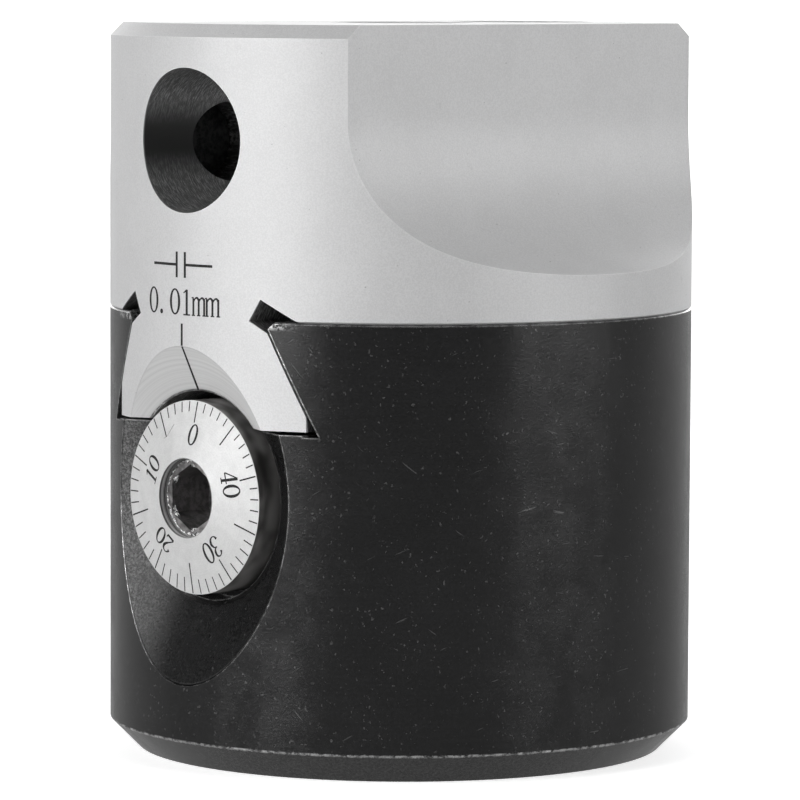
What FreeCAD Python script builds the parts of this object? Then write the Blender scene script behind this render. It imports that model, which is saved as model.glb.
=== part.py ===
"""Adjustable boring head, 50 mm, in millimetres: a FreeCAD 1.1 macro.

The head stands on its shank face, tool end up. The origin is the centre of that face, +Z points from the shank to
the tool end, and the slide travels along Y, with the dial at the -Y end. The clamp, lock and gib screws come in
from -X. Every sub-part is an object of one document, and its sizes are bound to the spreadsheet "Sizes".
"""
import FreeCAD, Part
import os
import re

import Sketcher

# Driving sizes: alias, value, what it is.
DRIVING = [
    # the two halves
    ("head_diameter", 50, "outside diameter of body and slide"),
    ("body_height", 37.85, "shank face to sliding face"),
    ("slide_height", 24.25, "sliding face to tool end"),
    ("seam_gap", 0.03, "running clearance between the sliding faces"),
    ("seam_edge", 0.12, "edge break on both sides of the seam"),
    ("shank_face_chamfer", 2.4, "chamfer round the shank face"),
    ("tool_end_chamfer", 1.1, "chamfer round the tool end"),
    # dovetail
    ("tongue_depth", 8.9, "how far the tongue reaches below the sliding face"),
    ("tongue_root_half", 7.8, "half width of the tongue where its flanks meet the sliding face"),
    ("tongue_shift", 0.5, "how far the tongue's middle stands off the screw's axis"),
    ("dovetail_angle", 65, "angle between flank and sliding face, degrees"),
    ("fixed_tip_half", 11.4, "half width of the tongue at its fixed tip"),
    ("pad_tip_half", 10.7, "half width of the tongue at the face that the pads press on"),
    ("relief_inner", 6.6, "half distance between the inner corners of the relief slots"),
    ("relief_width", 2.1, "width of the relief slots at the tongue's roots"),
    ("relief_slope", 30, "slope of the relief slots, degrees"),
    ("flank_gap", 0.22, "sideways clearance between tongue and groove flanks"),
    ("floor_gap", 0.3, "clearance under the tongue"),
    ("corner_relief", 0.15, "depth of the reliefs in the groove's bottom corners"),
    ("corner_relief_width", 1.2, "width of those reliefs on the floor"),
    ("groove_edge_width", 0.8, "how far the groove's top edges are cut back on the sliding face"),
    ("groove_edge_depth", 0.6, "how far they are cut back on the flank"),
    # shank thread, 7/8 inch, 20 threads per inch, drawn at its root in the body
    ("shank_thread_radius", 10.43, "minor radius of the shank thread"),
    ("shank_web", 3.25, "metal between the shank bore and the nut's slot"),
    ("register_radius", 11.3, "radius of the register at the mouth of the shank bore"),
    ("register_depth", 2, "depth of the register"),
    # slide travel and lead screw
    ("travel", 6.5, "slide travel each way from the middle"),
    ("screw_drop", 15.05, "lead screw's axis below the sliding face"),
    ("screw_thread_radius", 3, "outside radius of the lead screw's thread"),
    ("screw_tail_radius", 2, "radius of the tail journal"),
    ("screw_tail_length", 4, "length of the tail journal"),
    ("journal_radius", 3.3, "radius of the journal that carries the dial"),
    ("collar_radius", 4.6, "radius of the thrust collar"),
    ("collar_length", 2, "length of the thrust collar"),
    ("screw_hex", 5, "width across flats of the screw's socket"),
    ("screw_hex_depth", 4, "depth of that socket"),
    ("running_gap", 0.04, "radial clearance of journals in their rings and bush"),
    ("thread_gap", 0.05, "radial clearance where two threads are drawn as cylinders"),
    ("end_gap", 0.03, "end clearance of the thrust collar and washers"),
    # dial and its recess
    ("dial_radius", 8.1, "outside radius of the dial"),
    ("dial_rim_width", 4, "width of the dial's rim"),
    ("dial_rim_depth", 1.32, "front edge of the dial's rim below the head's outside"),
    ("dial_rise", 0.94, "how far the dial's shallow cone rises from rim to bore"),
    ("dial_edge", 0.2, "edge break of the dial's back"),
    ("dial_gap", 0.3, "clearance behind the dial"),
    ("dial_side_gap", 0.6, "clearance round the dial in its recess"),
    ("screw_end_sink", 0.75, "how far the screw's end lies inside the dial's bore"),
    ("recess_mouth_radius", 15.7, "radius of the recess cone on the head's outside"),
    ("recess_cone_angle", 65.5, "half angle of the recess cone, degrees"),
    ("tongue_bevel_radius", 12.7, "radius of the tongue's bevel on the head's outside"),
    ("tongue_bevel_angle", 60.4, "half angle of the tongue's bevel cone, degrees"),
    ("tongue_dial_gap", 0.75, "clearance between dial and the tongue's arched groove"),
    ("dial_screw_radius", 1.25, "radius of the dial's set screw at its thread root"),
    ("dial_screw_length", 3.5, "length of the dial's set screw"),
    ("dial_screw_hex", 1.3, "width across flats of that screw's socket"),
    # thrust ring, washers, bush
    ("ring_radius", 5, "radius of the thrust ring at its thread root"),
    ("ring_length", 2.6, "length of the thrust ring"),
    ("ring_sink", 0.3, "thrust ring below the dial recess floor"),
    ("ring_hole_radius", 0.5, "pin-wrench holes in the thrust ring"),
    ("washer_thickness", 0.5, "thickness of a thrust washer"),
    ("bush_length", 4, "length of the tail bush"),
    ("bush_seat_gap", 0.01, "clearance that stands for the bush's press fit"),
    # lead nut
    ("nut_half_width", 5, "half width of the nut block"),
    ("nut_length", 9, "length of the nut block along the travel"),
    ("nut_below_axis", 4.8, "nut block below the screw's axis"),
    ("nut_side_gap", 0.25, "clearance of the nut in its slot"),
    ("post_radius", 3.4, "radius of the nut's post"),
    ("post_height", 6, "height of the nut's post inside the tongue"),
    ("seat_gap", 0.01, "clearance that stands for a press fit of post and pin"),
    ("pin_radius", 1.25, "radius of the nut's dowel"),
    ("pin_half_length", 7.5, "half length of that dowel"),
    # bar bores and clamp screws
    ("bar_radius", 6, "radius of the bar bores"),
    ("centre_bore_depth", 21.5, "full depth of the centre bar bore"),
    ("offset_bore_depth", 21.5, "full depth of the offset bar bore"),
    ("offset_bore_place", 14.5, "offset bar bore from the middle of the slide"),
    ("cross_bore_rise", 14.65, "height of the cross bar bore above the sliding face"),
    ("cross_bore_shift", 0.3, "cross bar bore's axis from the middle plane of the head"),
    ("cross_bore_end", 7.5, "cross bar bore's bottom from the middle of the slide"),
    ("drill_point", 31, "slope of a drilled bore's bottom, degrees"),
    ("mouth_chamfer", 0.4, "chamfer at the mouths of the bar bores"),
    ("cross_screw_place", 15.5, "cross clamp screw from the middle of the slide"),
    ("clamp_screw_rise", 14.25, "height of the clamp screws above the sliding face"),
    ("clamp_screw_radius", 3.3, "radius of a clamp screw at its thread root"),
    ("clamp_screw_length", 6, "length of a clamp screw"),
    ("clamp_screw_hex", 4, "width across flats of its socket"),
    ("clamp_retract", 2.2, "clamp screw's tip behind the wall of its bore"),
    # flats for the clamp screws
    ("flat_depth", 10.2, "depth of the flats below the head's outside"),
    ("flat_cutter_radius", 13, "radius of the cutter that mills them"),
    ("flat_end_rise", 16.5, "height above the sliding face where the flats run out into the cutter's arc"),
    # lock and gib screws
    ("pad_screw_drop", 6.95, "lock and gib screws below the sliding face"),
    ("gib_screw_place", 12, "gib screws from the middle of the body"),
    ("pad_screw_radius", 2.1, "radius of lock and gib screws at their thread root"),
    ("pad_screw_hex", 2.5, "width across flats of their sockets"),
    ("gib_screw_length", 5.5, "length of a gib screw"),
    ("lock_screw_length", 8, "length of the lock screw"),
    ("pad_length", 3, "length of a pad's body"),
    ("pad_nose_radius", 1.4, "radius of a pad's nose"),
    ("pad_nose_length", 1.2, "length of a pad's nose"),
    ("pad_gap", 0.03, "clearance between pad and tongue when unlocked"),
    ("edge_break", 0.3, "edge break of the small turned pieces"),
    ("overrun", 2, "how far cutting outlines run out of the metal"),
]

# Sizes that follow from the driving ones.
DERIVED = {
    "head_radius": "head_diameter / 2",
    "slide_base": "body_height + seam_gap",
    "head_height": "body_height + slide_height",
    "screw_height": "body_height - screw_drop",
    "nut_slot_floor": "screw_height - nut_below_axis - nut_side_gap",
    "shank_depth": "nut_slot_floor - shank_web",
    "pad_screw_height": "body_height - pad_screw_drop",
    "cross_bore_height": "body_height + cross_bore_rise",
    "clamp_screw_height": "body_height + clamp_screw_rise",
    "flat_place": "head_radius - flat_depth",
    "flat_end_height": "body_height + flat_end_rise",
    "tongue_bottom": "body_height - tongue_depth",
    "groove_floor": "tongue_bottom - floor_gap",
    "flank_run": "1 / tan(dovetail_angle * 1deg)",
    "slope_sin": "sin(relief_slope * 1deg)",
    "slope_cos": "cos(relief_slope * 1deg)",
    "relief_side": "(tongue_root_half - relief_inner) / (slope_cos - flank_run * slope_sin)",
    "groove_top_half": "tongue_root_half + flank_gap",
    "groove_floor_half": "groove_top_half + (body_height - groove_floor) * flank_run",
    "dial_rim_front": "head_radius - dial_rim_depth",
    "dial_mouth": "dial_rim_front + dial_rise",
    "dial_back": "dial_rim_front - dial_rim_width",
    "recess_floor": "dial_back - dial_gap",
    "recess_radius": "dial_radius + dial_side_gap",
    "recess_slope": "tan(recess_cone_angle * 1deg)",
    "recess_cone_end": "head_radius - (recess_mouth_radius - recess_radius) / recess_slope",
    "arch_radius": "dial_radius + tongue_dial_gap",
    "bevel_slope": "tan(tongue_bevel_angle * 1deg)",
    "bevel_end": "head_radius - (tongue_bevel_radius - arch_radius) / bevel_slope",
    "arch_end": "dial_back - travel - 2 * dial_gap",
    "ring_front": "recess_floor - ring_sink",
    "ring_back": "ring_front - ring_length",
    "front_washer_front": "ring_back - end_gap",
    "collar_front": "front_washer_front - washer_thickness - end_gap",
    "collar_back": "collar_front - collar_length",
    "rear_washer_front": "collar_back - end_gap",
    "thrust_step": "rear_washer_front - washer_thickness - end_gap",
    "slot_half_length": "travel + nut_length / 2 + nut_side_gap",
    "screw_bore_radius": "screw_thread_radius + 6 * thread_gap",
    "bush_front": "slot_half_length + end_gap",
    "bush_back": "bush_front + bush_length",
    "pad_face": "tongue_shift - pad_tip_half",
    "pad_tip": "pad_face - pad_gap",
    "clamp_tip": "0 - bar_radius - clamp_retract",
}

ORIGIN = ("0", "0", "0")

doc = FreeCAD.newDocument("BoringHead")
sheet = doc.addObject("Spreadsheet::Sheet", "Sizes")
for row, (alias, number, note) in enumerate(DRIVING, start=1):
    sheet.set("A%d" % row, note)
    sheet.set("B%d" % row, str(number))
    sheet.setAlias("B%d" % row, alias)
doc.recompute()
ALIASES = {alias for alias, number, note in DRIVING}
volumes = {}


def formula(text):
    """Turns a formula in plain names into an expression on the spreadsheet."""
    def swap(match):
        word = match.group(0)
        if word in DERIVED:
            return "(" + formula(DERIVED[word]) + ")"
        return "Sizes." + word if word in ALIASES else word
    return re.sub(r"[a-z_]{3,}", swap, text)


def value(text):
    """The number that a formula gives with the present sizes."""
    return float(sheet.evalExpression(formula(text)))


def new_body(name, base=ORIGIN):
    """An empty body whose placement is bound to the sizes."""
    body = doc.addObject("PartDesign::Body", name)
    body.Label = name
    for axis, text in zip("xyz", base):
        if text != "0":
            body.setExpression(".Placement.Base." + axis, formula(text))
    return body


def new_sketch(body, name, plane, offset=ORIGIN):
    """A sketch on one of the body's own origin planes, shifted by three formulas in the sketch's axes."""
    sketch = body.newObject("Sketcher::SketchObject", name)
    support = [item for item in body.Origin.OriginFeatures if item.Role == plane][0]
    sketch.AttachmentSupport = [(support, "")]
    sketch.MapMode = "FlatFace"
    for axis, text in zip("xyz", offset):
        if text != "0":
            sketch.setExpression(".AttachmentOffset.Base." + axis, formula(text))
    return sketch


def pin_point(sketch, item, point, place):
    """Ties one point of a sketch to the sketch's origin by two distances."""
    for kind, text, axis in (("DistanceX", place[0], -2), ("DistanceY", place[1], -1)):
        if text == "0":
            sketch.addConstraint(Sketcher.Constraint("PointOnObject", item, point, axis))
            continue
        number = sketch.addConstraint(Sketcher.Constraint(kind, -1, 1, item, point, value(text)))
        sketch.setExpression("Constraints[%d]" % number, formula(text))


def draw_outline(sketch, corners, arcs=None):
    """A closed outline through corners. arcs gives, for the side after a corner, its radius and its centre."""
    arcs = arcs or {}
    first = sketch.GeometryCount
    count = len(corners)
    places = [FreeCAD.Vector(value(across), value(up), 0) for across, up in corners]
    for side in range(count):
        start = places[side]
        end = places[(side + 1) % count]
        if side in arcs:
            radius, centre = arcs[side]
            middle = FreeCAD.Vector(value(centre[0]), value(centre[1]), 0)
            toward = (start - middle) + (end - middle)
            crown = middle + toward.normalize() * value(radius)
            sketch.addGeometry(Part.Arc(start, crown, end))
        else:
            sketch.addGeometry(Part.LineSegment(start, end))
    ends = [(2, 1) if side not in arcs else arc_ends(sketch, first + side, places[side]) for side in range(count)]
    for side in range(count):
        following = (side + 1) % count
        sketch.addConstraint(Sketcher.Constraint("Coincident", first + side, ends[side][0],
                                                 first + following, ends[following][1]))
        pin_point(sketch, first + side, ends[side][1], corners[side])
    for side, (radius, centre) in arcs.items():
        number = sketch.addConstraint(Sketcher.Constraint("Radius", first + side, value(radius)))
        sketch.setExpression("Constraints[%d]" % number, formula(radius))


def arc_ends(sketch, item, start):
    """Which of an arc's point numbers is its last and which its first along the outline."""
    near_start = (sketch.Geometry[item].StartPoint - start).Length < (sketch.Geometry[item].EndPoint - start).Length
    return (2, 1) if near_start else (1, 2)


def grow(feature, cuts):
    """Recomputes and makes sure that a feature has added metal, or taken it away."""
    body = feature.getParentGeoFeatureGroup()
    body.Tip = feature
    doc.recompute()
    change = body.Shape.Volume - volumes.get(body.Label, 0.0)
    volumes[body.Label] = body.Shape.Volume
    if change > -1e-3 if cuts else change < 1e-3:
        raise RuntimeError("%s changed %s by %.4f mm3" % (feature.Name, body.Label, change))
    return feature


def turn(body, name, plane, offset, axis, corners, cuts=False):
    """A solid of revolution, or a turned cut, about the sketch's own H_Axis or V_Axis."""
    sketch = new_sketch(body, name + "_profile", plane, offset)
    draw_outline(sketch, corners)
    feature = body.newObject("PartDesign::Groove" if cuts else "PartDesign::Revolution", name)
    feature.Profile = sketch
    feature.ReferenceAxis = (sketch, [axis])
    feature.Angle = 360
    sketch.Visibility = False
    return grow(feature, cuts)


def extrude(body, name, plane, offset, corners, length, arcs=None, cuts=False, both_ways=False, reverse=False):
    """A prism of an outline, or a cut of that form; without a length the cut goes right through."""
    sketch = new_sketch(body, name + "_profile", plane, offset)
    draw_outline(sketch, corners, arcs)
    feature = body.newObject("PartDesign::Pocket" if cuts else "PartDesign::Pad", name)
    feature.Profile = sketch
    if length:
        feature.setExpression("Length", formula(length))
    else:
        feature.Type = "ThroughAll"
    if both_ways:
        feature.SideType = "Symmetric"
    feature.Reversed = reverse
    sketch.Visibility = False
    return grow(feature, cuts)


def hexagon(flats):
    """The corners of a hexagon of the given width across flats, two of them up and down."""
    reach = "%s / 1.7320508" % flats
    half = "%s / 2" % flats
    low = "%s / 3.4641016" % flats
    return [("0", reach), ("0 - " + half, low), ("0 - " + half, "0 - " + low),
            ("0", "0 - " + reach), (half, "0 - " + low), (half, low)]


def blunt_rod(radius, start, end, edge):
    """Half profile of a rod from start to end, with both edges broken."""
    return [(start, "0"), (start, "%s - %s" % (radius, edge)), ("%s + %s" % (start, edge), radius),
            ("%s - %s" % (end, edge), radius), (end, "%s - %s" % (radius, edge)), (end, "0")]


def make_body():
    """The half that takes the shank: groove, dial recess, screw bore, nut slot and screw holes."""
    body = new_body("body")
    turn(body, "body_blank", "XZ_Plane", ORIGIN, "V_Axis",
         [("0", "0"), ("head_radius - shank_face_chamfer", "0"), ("head_radius", "shank_face_chamfer"),
          ("head_radius", "body_height - seam_edge"), ("head_radius - seam_edge", "body_height"),
          ("0", "body_height")])
    turn(body, "shank_bore", "XZ_Plane", ORIGIN, "V_Axis",
         [("0", "0 - overrun"), ("register_radius", "0 - overrun"), ("register_radius", "register_depth"),
          ("shank_thread_radius", "register_depth + register_radius - shank_thread_radius"),
          ("shank_thread_radius", "shank_depth"), ("0", "shank_depth")], cuts=True)
    relief_floor = "groove_floor - corner_relief"
    relief_tip = "groove_floor_half + corner_relief * flank_run"
    relief_near = "groove_floor_half - corner_relief_width"
    edge = "groove_top_half + groove_edge_width"
    halves = [(relief_near, "groove_floor"), (relief_near, relief_floor), (relief_tip, relief_floor),
              ("groove_top_half + groove_edge_depth * flank_run", "body_height - groove_edge_depth"),
              (edge, "body_height"), (edge, "body_height + overrun")]
    right = [("tongue_shift + " + across, up) for across, up in halves]
    left = [("tongue_shift - (%s)" % across, up) for across, up in reversed(halves)]
    extrude(body, "dovetail_groove", "XZ_Plane", ORIGIN, right + left, None, cuts=True, both_ways=True)
    turn(body, "dial_recess", "YZ_Plane", ("0", "screw_height", "0"), "H_Axis",
         [("0 - recess_floor", "0"), ("0 - recess_floor", "recess_radius"), ("0 - recess_cone_end", "recess_radius"),
          ("0 - head_radius - overrun", "recess_mouth_radius + overrun * recess_slope"),
          ("0 - head_radius - overrun", "0")], cuts=True)
    turn(body, "screw_bore", "YZ_Plane", ("0", "screw_height", "0"), "H_Axis",
         [("0 - recess_floor - overrun", "0"), ("0 - recess_floor - overrun", "ring_radius + thread_gap"),
          ("0 - thrust_step", "ring_radius + thread_gap"), ("0 - thrust_step", "screw_bore_radius"),
          ("bush_back + end_gap", "screw_bore_radius"), ("bush_back + end_gap", "0")], cuts=True)
    across = "nut_half_width + nut_side_gap"
    extrude(body, "nut_slot", "XY_Plane", ("0", "0", "groove_floor"),
            [("0 - (%s)" % across, "0 - slot_half_length"), (across, "0 - slot_half_length"),
             (across, "slot_half_length"), ("0 - (%s)" % across, "slot_half_length")],
            "groove_floor - nut_slot_floor", cuts=True)
    for name, place in (("lock", "0"), ("gib_front", "0 - gib_screw_place"), ("gib_rear", "gib_screw_place")):
        turn(body, name + "_hole", "XY_Plane", ("0", place, "pad_screw_height"), "H_Axis",
             [("0 - head_radius - overrun", "0"), ("0 - head_radius - overrun", "pad_screw_radius + thread_gap"),
              ("pad_face", "pad_screw_radius + thread_gap"), ("pad_face", "0")], cuts=True)


def make_slide():
    """The half that carries the bars: tongue, three bar bores, clamp screw holes and two flats."""
    slide = new_body("slide")
    turn(slide, "slide_blank", "XZ_Plane", ORIGIN, "V_Axis",
         [("0", "tongue_bottom"), ("head_radius", "tongue_bottom"), ("head_radius", "head_height - tool_end_chamfer"),
          ("head_radius - tool_end_chamfer", "head_height"), ("0", "head_height")])
    for name, sign, tip in (("fixed_side", "+", "fixed_tip_half"), ("pad_side", "-", "pad_tip_half")):
        corners = [(tip, "tongue_bottom - overrun"), (tip, "slide_base - (%s - tongue_root_half) / flank_run" % tip),
                   ("relief_inner + relief_side * slope_cos", "slide_base - relief_side * slope_sin"),
                   ("relief_inner", "slide_base"),
                   ("relief_inner + relief_width * slope_sin", "slide_base + relief_width * slope_cos"),
                   ("relief_inner + relief_width / slope_sin", "slide_base"),
                   ("head_radius + overrun", "slide_base"), ("head_radius + overrun", "tongue_bottom - overrun")]
        placed = [("tongue_shift %s (%s)" % (sign, across), up) for across, up in corners]
        extrude(slide, name + "_cut", "XZ_Plane", ORIGIN, placed, None, cuts=True, both_ways=True)
    break_seam_edges(slide)
    turn(slide, "tongue_arch", "YZ_Plane", ("0", "screw_height", "0"), "H_Axis",
         [("0 - arch_end", "0"), ("0 - arch_end", "arch_radius"), ("0 - bevel_end", "arch_radius"),
          ("0 - head_radius - overrun", "tongue_bevel_radius + overrun * bevel_slope"),
          ("0 - head_radius - overrun", "0")], cuts=True)
    for name, place, depth in (("centre", "0", "centre_bore_depth"),
                               ("offset", "offset_bore_place", "offset_bore_depth")):
        turn(slide, name + "_bore", "YZ_Plane", (place, "0", "0"), "V_Axis",
             [("0", "head_height - %s - bar_radius * tan(drill_point * 1deg)" % depth),
              ("bar_radius", "head_height - " + depth), ("bar_radius", "head_height - mouth_chamfer"),
              ("bar_radius + mouth_chamfer", "head_height"), ("0", "head_height")], cuts=True)
    turn(slide, "cross_bore", "YZ_Plane", ("0", "cross_bore_height", "cross_bore_shift"), "H_Axis",
         [("0 - cross_bore_end", "0"), ("0 - cross_bore_end", "bar_radius"), ("0 - head_radius - overrun", "bar_radius"),
          ("0 - head_radius - overrun", "0")], cuts=True)
    for name, place in (("centre", "0"), ("offset", "offset_bore_place"), ("cross", "0 - cross_screw_place")):
        turn(slide, name + "_screw_hole", "XY_Plane", ("0", place, "clamp_screw_height"), "H_Axis",
             [("0 - head_radius", "0"), ("0 - head_radius", "clamp_screw_radius + thread_gap"),
              ("0", "clamp_screw_radius + thread_gap"), ("0", "0")], cuts=True)
    turn(slide, "post_hole", "XZ_Plane", ORIGIN, "V_Axis",
         [("0", "tongue_bottom - overrun"), ("post_radius + seat_gap", "tongue_bottom - overrun"),
          ("post_radius + seat_gap", "tongue_bottom + post_height + end_gap"),
          ("0", "tongue_bottom + post_height + end_gap")], cuts=True)
    turn(slide, "pin_hole", "XY_Plane", ("0", "0", "tongue_bottom + post_height / 2"), "H_Axis",
         [("0 - pin_half_length - end_gap", "0"), ("0 - pin_half_length - end_gap", "pin_radius + seat_gap"),
          ("head_radius / 2", "pin_radius + seat_gap"), ("head_radius / 2", "0")], cuts=True)
    flat = extrude(slide, "flat", "XZ_Plane", ORIGIN,
                   [("flat_place", "flat_end_height"),
                    ("flat_place + flat_cutter_radius", "flat_end_height - flat_cutter_radius"),
                    ("flat_place + flat_cutter_radius", "head_height + overrun"),
                    ("flat_place", "head_height + overrun")], None,
                   arcs={0: ("flat_cutter_radius", ("flat_place + flat_cutter_radius", "flat_end_height"))},
                   cuts=True, both_ways=True)
    mirror = slide.newObject("PartDesign::Mirrored", "second_flat")
    mirror.Originals = [flat]
    middle = [item for item in slide.Origin.OriginFeatures if item.Role == "YZ_Plane"][0]
    mirror.MirrorPlane = (middle, [""])
    grow(mirror, cuts=True)


def break_seam_edges(slide):
    """Chamfers the round edges of the slide's underside, where they meet the outside of the head."""
    rim = value("head_radius")
    base = value("slide_base")
    names = []
    for number, edge in enumerate(slide.Shape.Edges, start=1):
        ends = [vertex.Point for vertex in edge.Vertexes]
        on_rim = all(abs(point.z - base) < 1e-6 and abs(point.x ** 2 + point.y ** 2 - rim ** 2) < 1e-3 for point in ends)
        if on_rim and isinstance(edge.Curve, Part.Circle):
            names.append("Edge%d" % number)
    if not names:
        raise RuntimeError("the slide's underside has no round edges")
    carrier = slide.Tip
    chamfer = slide.newObject("PartDesign::Chamfer", "seam_chamfer")
    chamfer.Base = (carrier, names)
    chamfer.setExpression("Size", formula("seam_edge"))
    grow(chamfer, cuts=True)


def make_lead_screw():
    """The screw on its own axis: socket end, journal, thrust collar, thread and tail journal."""
    screw = new_body("lead_screw", ("0", "0", "screw_height"))
    front = "0 - dial_mouth + screw_end_sink"
    turn(screw, "screw_blank", "YZ_Plane", ORIGIN, "H_Axis",
         [(front, "0"), (front, "journal_radius - edge_break / 2"), (front + " + edge_break / 2", "journal_radius"),
          ("0 - collar_front", "journal_radius"), ("0 - collar_front", "collar_radius"),
          ("0 - collar_back", "collar_radius"), ("0 - collar_back", "screw_thread_radius"),
          ("bush_front - end_gap", "screw_thread_radius"), ("bush_front - end_gap", "screw_tail_radius"),
          ("bush_front + screw_tail_length - edge_break", "screw_tail_radius"),
          ("bush_front + screw_tail_length", "screw_tail_radius - edge_break"),
          ("bush_front + screw_tail_length", "0")])
    extrude(screw, "screw_socket", "XZ_Plane", ("0", "0", "dial_mouth - screw_end_sink"), hexagon("screw_hex"),
            "screw_hex_depth", cuts=True)


def make_dial():
    """The graduated ring on the screw's journal, with the hole for its set screw."""
    dial = new_body("dial", ("0", "0 - dial_back", "screw_height"))
    turn(dial, "dial_blank", "YZ_Plane", ORIGIN, "H_Axis",
         [("0", "journal_radius + seat_gap"), ("0", "dial_radius - dial_edge"), ("0 - dial_edge", "dial_radius"),
          ("0 - dial_rim_width", "dial_radius"), ("0 - dial_rim_width - dial_rise", "journal_radius + seat_gap")])
    turn(dial, "dial_screw_hole", "XY_Plane", ("0", "0 - dial_rim_width / 2", "0"), "H_Axis",
         [("0 - dial_radius - overrun", "0"), ("0 - dial_radius - overrun", "dial_screw_radius + thread_gap"),
          ("0 - journal_radius", "dial_screw_radius + thread_gap"), ("0 - journal_radius", "0")], cuts=True)


def make_set_screw(name, tip, radius, length, flats, socket):
    """A socket set screw lying along X, its tip at the placed point and its socket towards -X."""
    screw = new_body(name, tip)
    turn(screw, name + "_blank", "XY_Plane", ORIGIN, "H_Axis",
         blunt_rod(radius, "0 - " + length, "0", "edge_break"))
    extrude(screw, name + "_socket", "YZ_Plane", ("0", "0", "0 - " + length), hexagon(flats), socket,
            cuts=True, reverse=True)


def make_ring(name, front, length, radius, hole):
    """A ring on the screw's axis, its front face towards -Y."""
    ring = new_body(name, ("0", "0 - " + front, "screw_height"))
    turn(ring, name + "_blank", "YZ_Plane", ORIGIN, "H_Axis",
         [("0", hole), ("0", radius), (length, radius), (length, hole)])
    return ring


def make_lead_nut():
    """The nut block on the screw, with the post that goes up into the tongue."""
    nut = new_body("lead_nut")
    base = "screw_height - nut_below_axis"
    extrude(nut, "nut_block", "XZ_Plane", ORIGIN,
            [("0 - nut_half_width", base), ("nut_half_width", base), ("nut_half_width", "tongue_bottom"),
             ("0 - nut_half_width", "tongue_bottom")], "nut_length", both_ways=True)
    turn(nut, "nut_post", "XZ_Plane", ORIGIN, "V_Axis",
         [("0", "tongue_bottom"), ("post_radius", "tongue_bottom"),
          ("post_radius", "tongue_bottom + post_height - edge_break"),
          ("post_radius - edge_break", "tongue_bottom + post_height"), ("0", "tongue_bottom + post_height")])
    turn(nut, "nut_thread", "YZ_Plane", ("0", "screw_height", "0"), "H_Axis",
         [("0 - nut_length", "0"), ("0 - nut_length", "screw_thread_radius + thread_gap"),
          ("nut_length", "screw_thread_radius + thread_gap"), ("nut_length", "0")], cuts=True)
    turn(nut, "nut_pin_hole", "XY_Plane", ("0", "0", "tongue_bottom + post_height / 2"), "H_Axis",
         [("0 - nut_half_width", "0"), ("0 - nut_half_width", "pin_radius + seat_gap"),
          ("nut_half_width", "pin_radius + seat_gap"), ("nut_half_width", "0")], cuts=True)


def make_pin():
    """The dowel that holds the nut's post in the tongue."""
    pin = new_body("nut_pin", ("0", "0", "tongue_bottom + post_height / 2"))
    turn(pin, "pin_blank", "XY_Plane", ORIGIN, "H_Axis",
         blunt_rod("pin_radius", "0 - pin_half_length", "pin_half_length", "edge_break"))


def make_pad(name, place):
    """A brass pad between its screw and the tongue, its nose at the placed point."""
    pad = new_body(name, ("pad_tip", place, "pad_screw_height"))
    back = "0 - pad_nose_length - pad_length"
    turn(pad, name + "_blank", "XY_Plane", ORIGIN, "H_Axis",
         [(back, "0"), (back, "pad_screw_radius"), ("0 - pad_nose_length", "pad_screw_radius"),
          ("0 - pad_nose_length", "pad_nose_radius"), ("0", "pad_nose_radius"), ("0", "0")])


def make_all():
    """Builds every sub-part."""
    make_body()
    make_slide()
    make_lead_screw()
    make_dial()
    make_set_screw("dial_set_screw", ("0 - journal_radius - seat_gap", "dial_rim_width / 2 - dial_rim_front",
                                      "screw_height"),
                   "dial_screw_radius", "dial_screw_length", "dial_screw_hex", "dial_screw_length / 2")
    for name, place, length in (("slide_lock_screw", "0", "lock_screw_length"),
                                ("gib_screw_front", "0 - gib_screw_place", "gib_screw_length"),
                                ("gib_screw_rear", "gib_screw_place", "gib_screw_length")):
        make_set_screw(name, ("pad_tip - pad_nose_length - pad_length", place, "pad_screw_height"),
                       "pad_screw_radius", length, "pad_screw_hex", length + " / 2")
    for name, place in (("lock_pad", "0"), ("gib_pad_front", "0 - gib_screw_place"),
                        ("gib_pad_rear", "gib_screw_place")):
        make_pad(name, place)
    for name, place in (("centre_bar_screw", "0"), ("offset_bar_screw", "offset_bore_place"),
                        ("cross_bar_screw", "0 - cross_screw_place")):
        make_set_screw(name, ("clamp_tip", place, "clamp_screw_height"), "clamp_screw_radius",
                       "clamp_screw_length", "clamp_screw_hex", "clamp_screw_length / 2")
    make_lead_nut()
    make_pin()
    journal_hole = "journal_radius + running_gap"
    ring = make_ring("thrust_ring", "ring_front", "ring_length", "ring_radius", journal_hole)
    for name, side in (("ring_hole_up", ""), ("ring_hole_down", "0 - ")):
        turn(ring, name, "YZ_Plane", ("0", side + "(ring_radius + journal_radius) / 2", "0"), "H_Axis",
             [("0 - overrun", "0"), ("0 - overrun", "ring_hole_radius"),
              ("ring_length / 2", "ring_hole_radius"), ("ring_length / 2", "0")], cuts=True)
    washer = ("washer_thickness", "ring_radius - running_gap")
    make_ring("front_thrust_washer", "front_washer_front", *washer, journal_hole)
    make_ring("rear_thrust_washer", "rear_washer_front", *washer, "screw_thread_radius + running_gap")
    bush = new_body("rear_bush", ("0", "bush_front", "screw_height"))
    turn(bush, "bush_blank", "YZ_Plane", ORIGIN, "H_Axis",
         [("0", "screw_tail_radius + running_gap"), ("0", "screw_bore_radius - bush_seat_gap"),
          ("bush_length", "screw_bore_radius - bush_seat_gap"), ("bush_length", "screw_tail_radius + running_gap")])


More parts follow.
